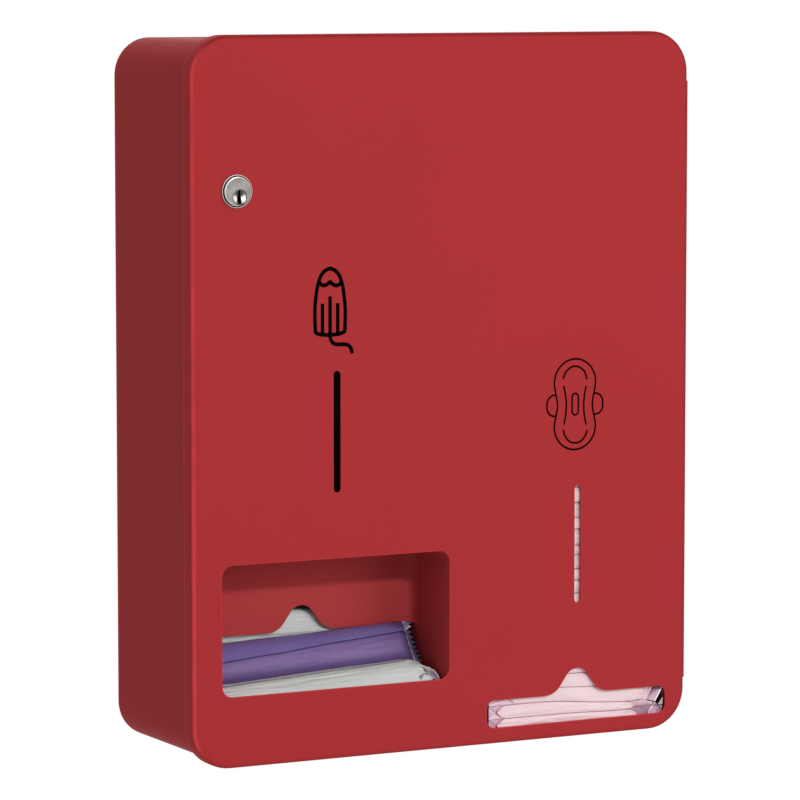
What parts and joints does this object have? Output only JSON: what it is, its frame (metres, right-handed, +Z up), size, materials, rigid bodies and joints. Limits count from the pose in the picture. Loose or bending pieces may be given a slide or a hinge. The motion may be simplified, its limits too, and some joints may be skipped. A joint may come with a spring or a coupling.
{
  "type": "tampon and pad dispenser",
  "caption": "Wall cabinet with round corners and a lockable hinged door, holding wrapped tampons in a recess and wrapped pads behind a low window with thumb notches.",
  "frame": {"origin": "middle of the cabinet's wall face", "axes": "+X to the right seen from the front, +Y into the wall, +Z up; the door's front looks along -Y"},
  "size_m": [0.3025, 0.1022, 0.384],
  "materials": {
    "red_paint": "satin red powder coat on sheet steel",
    "red_liner": "the same satin red on the recess liner",
    "zinc_steel": "zinc-plated sheet steel",
    "bright_steel": "bright zinc-plated small parts",
    "lock_nickel": "satin nickel-plated cam lock",
    "black_rubber": "matt black rubber",
    "white_film": "soft goods in thin white wrapper film",
    "violet_film": "soft goods in thin violet wrapper film",
    "pink_film": "soft goods in thin pale pink wrapper film"
  },
  "bodies": {
    "cabinet": {"cabinet_shell": "red_paint", "back_panel": "red_paint", "tampon_channel": "zinc_steel", "tampon_front_plate": "zinc_steel", "recess_liner": "red_liner", "tampon_tray": "red_paint", "pad_channel": "zinc_steel", "pad_tray": "zinc_steel", "strike_bracket": "zinc_steel", "cabinet_hinge_leaf": "red_paint", "hinge_pin": "bright_steel", "channel_nut_1": "bright_steel", "channel_nut_2": "bright_steel", "channel_nut_3": "bright_steel", "channel_nut_4": "bright_steel", "door_bumper_1": "black_rubber", "door_bumper_2": "black_rubber", "door_bumper_3": "black_rubber", "door_bumper_4": "black_rubber", "tampon_middle": "violet_film", "tampon_rear": "white_film", "pad_01": "pink_film", "pad_03": "pink_film", "pad_04": "pink_film", "pad_05": "pink_film", "pad_06": "pink_film", "pad_07": "pink_film", "pad_08": "pink_film", "pad_09": "pink_film", "pad_10": "pink_film", "pad_11": "pink_film", "pad_12": "pink_film", "pad_13": "pink_film", "pad_14": "pink_film", "pad_15": "pink_film", "pad_16": "pink_film", "pad_17": "pink_film", "pad_18": "pink_film", "pad_19": "pink_film"},
    "door": {"door_panel": "red_paint", "door_hinge_leaf": "red_paint", "lock_housing": "lock_nickel", "lock_nut": "bright_steel"},
    "lock": {"lock_plug": "lock_nickel", "lock_cam": "zinc_steel", "cam_screw": "bright_steel"},
    "loose_tampon": {"tampon_front": "white_film"},
    "loose_pad": {"pad_02": "pink_film"}
  },
  "joints": [
    {"name": "door_swing", "type": "hinge", "parent": "cabinet", "child": "door", "pos_m": [0.1505, -0.0865, 0], "axis": [0, 0, 1], "range_deg": [0, 165]},
    {"name": "lock_turn", "type": "hinge", "parent": "door", "child": "lock", "pos_m": [-0.1231, -0.1, 0.1083], "axis": [0, 1, 0], "range_deg": [0, 90]},
    {"name": "tampon_lift", "type": "slide", "parent": "cabinet", "child": "loose_tampon", "axis": [0, 0, 1], "range_m": [0, 0.016]},
    {"name": "pad_draw", "type": "slide", "parent": "cabinet", "child": "loose_pad", "axis": [0, -1, 0], "range_m": [0, 0.06]}
  ]
}
